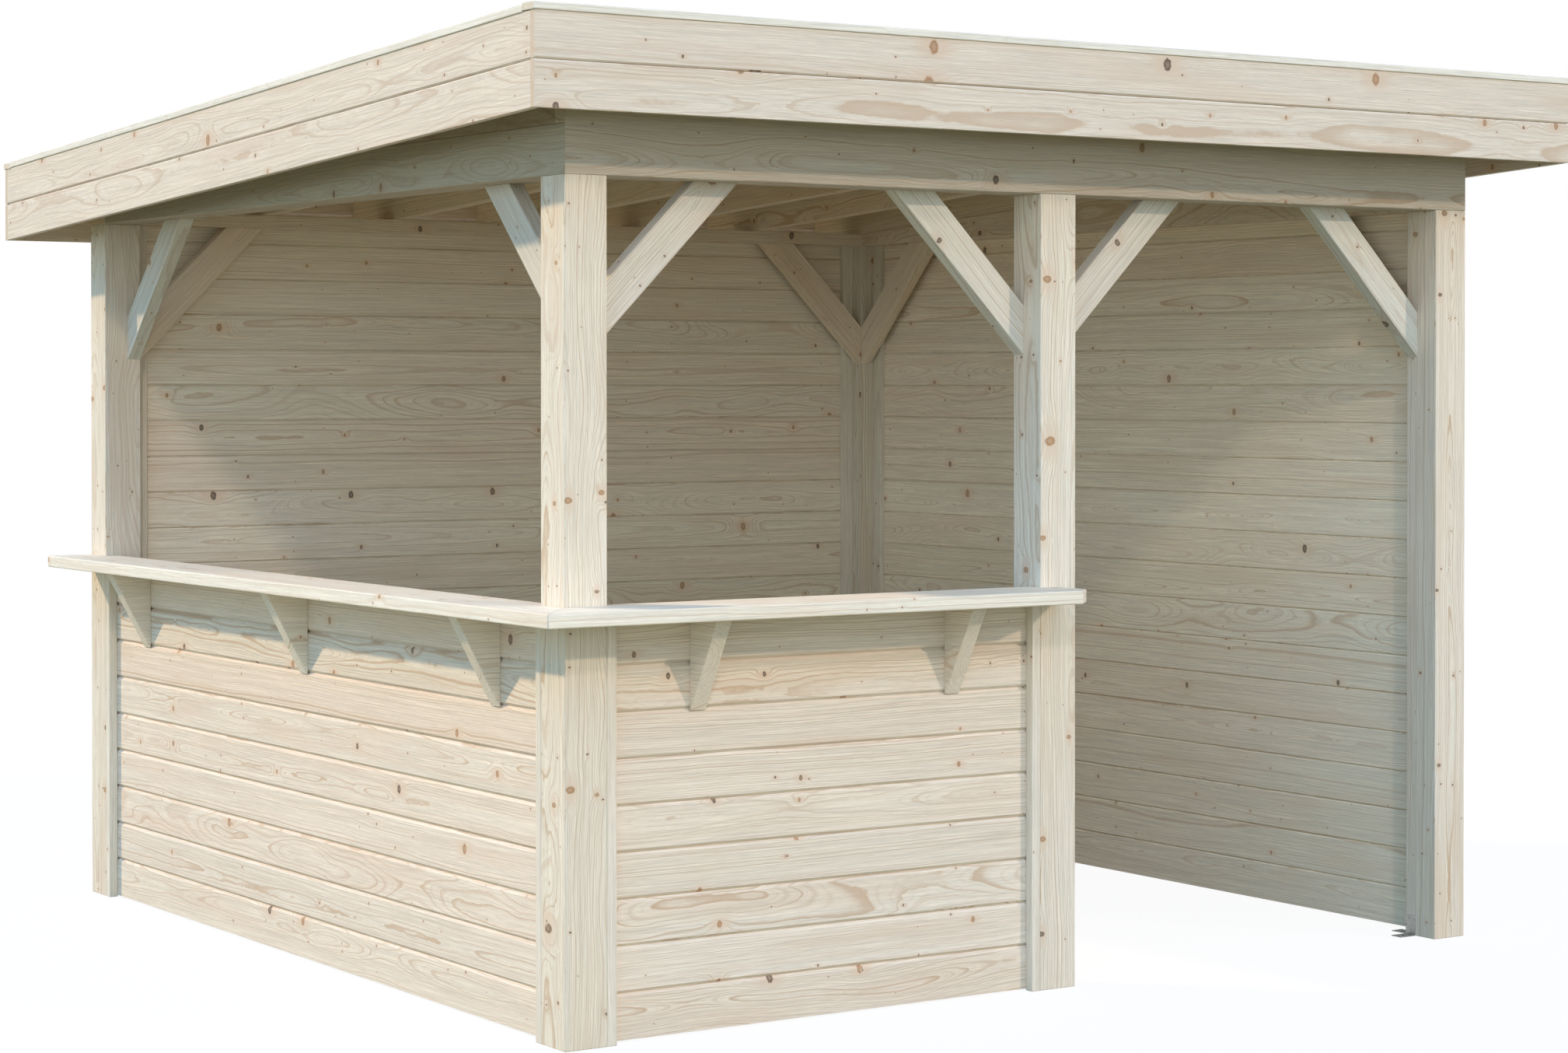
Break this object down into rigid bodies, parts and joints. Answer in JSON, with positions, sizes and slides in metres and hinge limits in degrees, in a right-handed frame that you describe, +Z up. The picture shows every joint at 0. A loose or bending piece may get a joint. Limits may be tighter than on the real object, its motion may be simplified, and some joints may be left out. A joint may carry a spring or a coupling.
{
  "type": "timber garden pavilion with serving counter",
  "caption": "Square flat-roofed timber garden pavilion with two full walls, two low walls with a serving counter and an open entrance.",
  "frame": {"origin": "centre of the post footprint on the ground, which is the middle of the roof's outline", "axes": "+X along the front to the right, +Y to the back, +Z up"},
  "size_m": [3.483, 3.507, 2.534],
  "materials": {
    "post_wood": "planed, untreated spruce",
    "beam_wood": "planed, untreated spruce",
    "rafter_wood": "planed, untreated spruce",
    "deck_wood": "planed, untreated spruce boards",
    "fascia_wood": "planed, untreated spruce boards",
    "cap_wood": "planed, untreated spruce",
    "wall_wood": "planed tongue and groove spruce boards",
    "batten_wood": "planed, untreated spruce",
    "brace_wood": "planed, untreated spruce",
    "counter_wood": "planed, untreated spruce",
    "galvanised_steel": "dull zinc coating"
  },
  "bodies": {
    "root": {"front_left_post": "post_wood", "back_left_post": "post_wood", "back_right_post": "post_wood", "front_right_post": "post_wood", "front_middle_post": "post_wood", "front_beam": "beam_wood", "back_beam": "beam_wood", "left_beam": "beam_wood", "right_beam": "beam_wood", "rafter_1": "rafter_wood", "rafter_2": "rafter_wood", "rafter_3": "rafter_wood", "rafter_4": "rafter_wood", "rafter_5": "rafter_wood", "rafter_6": "rafter_wood", "rafter_7": "rafter_wood", "roof_deck": "deck_wood", "front_fascia": "fascia_wood", "back_fascia": "fascia_wood", "left_fascia": "fascia_wood", "right_fascia": "fascia_wood", "fascia_caps": "cap_wood", "front_low_wall": "wall_wood", "left_low_wall": "wall_wood", "back_wall": "wall_wood", "right_wall": "wall_wood", "front_wall_battens": "batten_wood", "left_wall_battens": "batten_wood", "back_wall_battens": "batten_wood", "right_wall_battens": "batten_wood", "front_brace_1": "brace_wood", "front_brace_2": "brace_wood", "front_brace_3": "brace_wood", "front_brace_4": "brace_wood", "left_brace_1": "brace_wood", "left_brace_2": "brace_wood", "back_brace_1": "brace_wood", "back_brace_2": "brace_wood", "right_brace_1": "brace_wood", "right_brace_2": "brace_wood", "front_counter": "counter_wood", "left_counter": "counter_wood", "front_counter_brackets": "counter_wood", "left_counter_brackets": "counter_wood", "ground_anchors": "galvanised_steel"}
  },
  "joints": []
}
